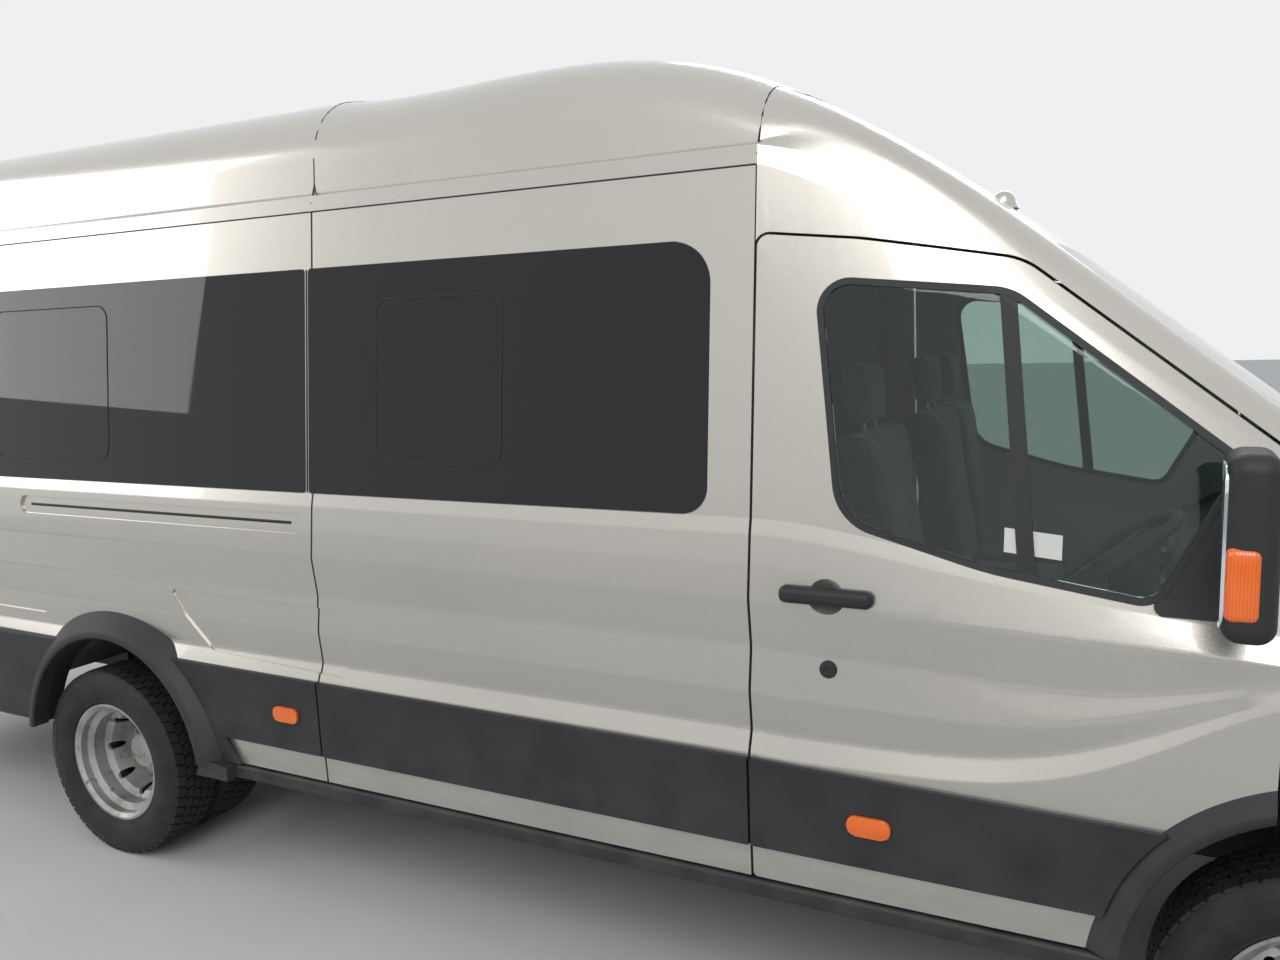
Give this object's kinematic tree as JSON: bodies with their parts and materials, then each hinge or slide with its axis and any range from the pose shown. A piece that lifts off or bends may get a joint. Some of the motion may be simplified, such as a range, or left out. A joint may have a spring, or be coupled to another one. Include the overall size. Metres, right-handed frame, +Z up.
{
  "type": "minibus",
  "caption": "Extended high-roof minibus with dark flush side glass, black side mouldings and twin rear wheels.",
  "frame": {"origin": "on the ground under the centre of the vehicle's box", "axes": "+X forward, +Y to the left side, +Z up"},
  "size_m": [6.7038, 2.524, 2.684],
  "materials": {
    "paint": "metallic champagne paint",
    "black_plastic": "textured black plastic",
    "dark_glass": "dark tinted glass",
    "clear_glass": "lightly tinted glass",
    "lamp_red": "red lamp lens",
    "lamp_clear": "clear lamp lens",
    "lamp_amber": "amber lens",
    "trim_grey": "dark grey moulded trim",
    "lining": "light grey lining",
    "steel_rim": "dull silver wheel paint",
    "tyre": "rubber tyre",
    "chassis": "black underbody paint",
    "cast": "cast metal",
    "steel": "dull steel",
    "seat_fabric": "dark woven seat cloth"
  },
  "bodies": {
    "body": {"roof_rear": "paint", "roof_middle": "paint", "side_wall_right": "paint", "side_wall_left": "paint", "side_panel_right": "paint", "sliding_door_left": "paint", "side_glass": "dark_glass", "rear_frame": "paint", "tail_lamps": "lamp_red", "windscreen": "clear_glass", "cab_roof": "paint", "cab_frame": "paint", "front_wings": "paint", "headlamps": "lamp_clear", "grille": "black_plastic", "front_bumper": "black_plastic", "cowl": "black_plastic", "side_mouldings": "black_plastic", "side_lamps": "lamp_amber", "rear_bumper": "black_plastic", "floor": "chassis", "arch_liners": "black_plastic", "chassis_frame": "chassis", "pillars": "lining", "dashboard": "trim_grey", "seat_cushions": "seat_fabric", "seat_frames": "chassis", "engine": "cast", "driveline": "cast", "leaf_springs": "chassis", "fuel_tank": "black_plastic", "exhaust": "steel", "front_suspension": "chassis"},
    "front_door_right": {"front_door_right": "paint", "door_glass_right": "clear_glass", "door_trim_right": "black_plastic"},
    "rear_door_right": {"rear_door_right": "paint", "rear_door_glass_right": "dark_glass"},
    "knuckle_right": {"knuckle_right": "cast"},
    "front_wheel_right": {"front_rim_right": "steel_rim", "front_tyre_right": "tyre"},
    "rear_wheels_right": {"rear_rims_right": "steel_rim", "rear_tyres_right": "tyre"},
    "front_door_left": {"front_door_left": "paint", "door_glass_left": "clear_glass", "door_trim_left": "black_plastic"},
    "rear_door_left": {"rear_door_left": "paint", "rear_door_glass_left": "dark_glass"},
    "knuckle_left": {"knuckle_left": "cast"},
    "front_wheel_left": {"front_rim_left": "steel_rim", "front_tyre_left": "tyre"},
    "rear_wheels_left": {"rear_rims_left": "steel_rim", "rear_tyres_left": "tyre"},
    "bonnet": {"bonnet": "paint"},
    "steering_wheel": {"steering_wheel": "trim_grey"}
  },
  "joints": [
    {"name": "front_door_right_hinge", "type": "hinge", "parent": "body", "child": "front_door_right", "pos_m": [2.205, -1.036, 1], "axis": [0, 0, 1], "range_deg": [0, 68]},
    {"name": "rear_door_right_hinge", "type": "hinge", "parent": "body", "child": "rear_door_right", "pos_m": [-3.306, -0.8, 1.5], "axis": [0, 0, 1], "range_deg": [0, 180]},
    {"name": "steer_right", "type": "hinge", "parent": "body", "child": "knuckle_right", "pos_m": [2.329, -0.775, 0.349], "axis": [0, 0, 1], "range_deg": [-36, 36]},
    {"name": "front_wheel_right_spin", "type": "hinge", "parent": "knuckle_right", "child": "front_wheel_right", "pos_m": [2.329, -0.866, 0.349], "axis": [0, 1, 0], "continuous": true},
    {"name": "rear_wheels_right_spin", "type": "hinge", "parent": "body", "child": "rear_wheels_right", "pos_m": [-1.421, -0.814, 0.349], "axis": [0, 1, 0], "continuous": true},
    {"name": "front_door_left_hinge", "type": "hinge", "parent": "body", "child": "front_door_left", "pos_m": [2.205, 1.036, 1], "axis": [0, 0, -1], "range_deg": [0, 68]},
    {"name": "rear_door_left_hinge", "type": "hinge", "parent": "body", "child": "rear_door_left", "pos_m": [-3.306, 0.8, 1.5], "axis": [0, 0, -1], "range_deg": [0, 180]},
    {"name": "steer_left", "type": "hinge", "parent": "body", "child": "knuckle_left", "pos_m": [2.329, 0.775, 0.349], "axis": [0, 0, 1], "range_deg": [-36, 36]},
    {"name": "front_wheel_left_spin", "type": "hinge", "parent": "knuckle_left", "child": "front_wheel_left", "pos_m": [2.329, 0.866, 0.349], "axis": [0, 1, 0], "continuous": true},
    {"name": "rear_wheels_left_spin", "type": "hinge", "parent": "body", "child": "rear_wheels_left", "pos_m": [-1.421, 0.814, 0.349], "axis": [0, 1, 0], "continuous": true},
    {"name": "bonnet_hinge", "type": "hinge", "parent": "body", "child": "bonnet", "pos_m": [2.674, 0, 1.35], "axis": [0, -1, 0], "range_deg": [0, 50]},
    {"name": "steering_wheel_turn", "type": "hinge", "parent": "body", "child": "steering_wheel", "pos_m": [1.859, -0.5, 1.25], "axis": [-0.5708, 0, 0.8211], "range_deg": [-510, 510]}
  ],
  "couplings": [
    {"joint": "steer_left", "follows": "steer_right", "ratio": 1},
    {"joint": "steering_wheel_turn", "follows": "steer_right", "ratio": 14}
  ]
}
